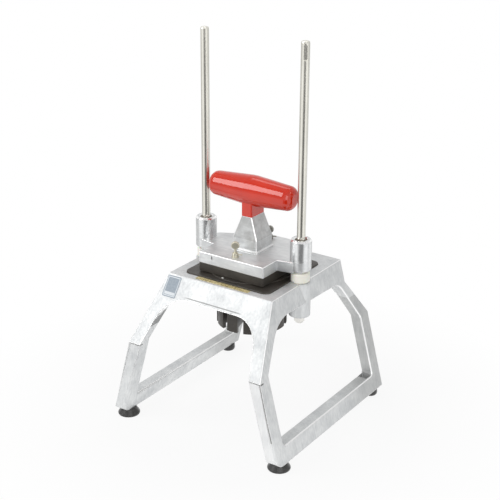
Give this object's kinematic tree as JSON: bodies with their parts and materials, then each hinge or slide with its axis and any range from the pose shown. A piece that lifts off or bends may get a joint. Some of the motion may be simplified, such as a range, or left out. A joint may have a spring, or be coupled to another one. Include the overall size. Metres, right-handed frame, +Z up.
{
  "type": "apple wedger press",
  "caption": "Table-top fruit wedger: a gripped head slides down two rods and pushes fruit through radial blades and a core tube.",
  "frame": {"origin": "on the table, midway between the guide rods, at the bottom centre of the box", "axes": "+Z up along the guide rods, +X from the left rod to the right rod, -Y towards the user"},
  "size_m": [0.247, 0.2487, 0.465],
  "materials": {
    "cast_aluminium": "cast and tumbled, satin",
    "ground_steel": "ground and polished",
    "blade_steel": "ground, sharpened edge",
    "zinc_hardware": "zinc plated",
    "dark_steel": "dark plated",
    "brass": "nickel-brass, slightly dull",
    "bearing_bronze": "sintered bearing bronze",
    "black_rubber": "moulded, semi-matt",
    "ivory_nylon": "turned nylon",
    "black_plastic": "moulded, brownish black, satin",
    "red_vinyl": "dipped vinyl, glossy",
    "yellow_film": "blank adhesive strip",
    "blue_film": "blank adhesive label"
  },
  "bodies": {
    "frame": {"apron_label": "blue_film", "blade_holder": "black_plastic", "blade_ring": "black_plastic", "bumper_left": "ivory_nylon", "bumper_right": "ivory_nylon", "cap_nut_left": "zinc_hardware", "cap_nut_right": "zinc_hardware", "core_tube": "blade_steel", "deck_strip": "yellow_film", "foot_back_left": "black_rubber", "foot_back_right": "black_rubber", "foot_front_left": "black_rubber", "foot_front_right": "black_rubber", "foot_screws": "zinc_hardware", "frame_casting": "cast_aluminium", "guide_rod_left": "ground_steel", "guide_rod_right": "ground_steel", "ring_screws": "zinc_hardware", "rod_washer_left": "zinc_hardware", "rod_washer_right": "zinc_hardware", "wedge_blade_01": "blade_steel", "wedge_blade_02": "blade_steel", "wedge_blade_03": "blade_steel", "wedge_blade_04": "blade_steel", "wedge_blade_05": "blade_steel", "wedge_blade_06": "blade_steel", "wedge_blade_07": "blade_steel", "wedge_blade_08": "blade_steel", "wedge_blade_09": "blade_steel", "wedge_blade_10": "blade_steel", "wedge_blade_11": "blade_steel", "wedge_blade_12": "blade_steel"},
    "head": {"block_inserts": "brass", "bushing_lower_left": "bearing_bronze", "bushing_lower_right": "bearing_bronze", "bushing_upper_left": "bearing_bronze", "bushing_upper_right": "bearing_bronze", "grip": "red_vinyl", "head_casting": "cast_aluminium", "push_block_fingers": "black_plastic", "push_block_plate": "black_plastic", "push_block_plug": "black_plastic"},
    "front_thumb_screw": {"thumb_screw_front": "brass"},
    "back_thumb_screw": {"thumb_screw_back": "dark_steel"}
  },
  "joints": [
    {"name": "head_slide", "type": "slide", "parent": "frame", "child": "head", "axis": [0, 0, 1], "range_m": [0, 0.2]},
    {"name": "front_thumb_screw_turn", "type": "hinge", "parent": "head", "child": "front_thumb_screw", "pos_m": [0, -0.0353, 0.2098], "axis": [0, 0, 1], "continuous": true},
    {"name": "back_thumb_screw_turn", "type": "hinge", "parent": "head", "child": "back_thumb_screw", "pos_m": [0, 0.0373, 0.2098], "axis": [0, 0, 1], "continuous": true}
  ]
}
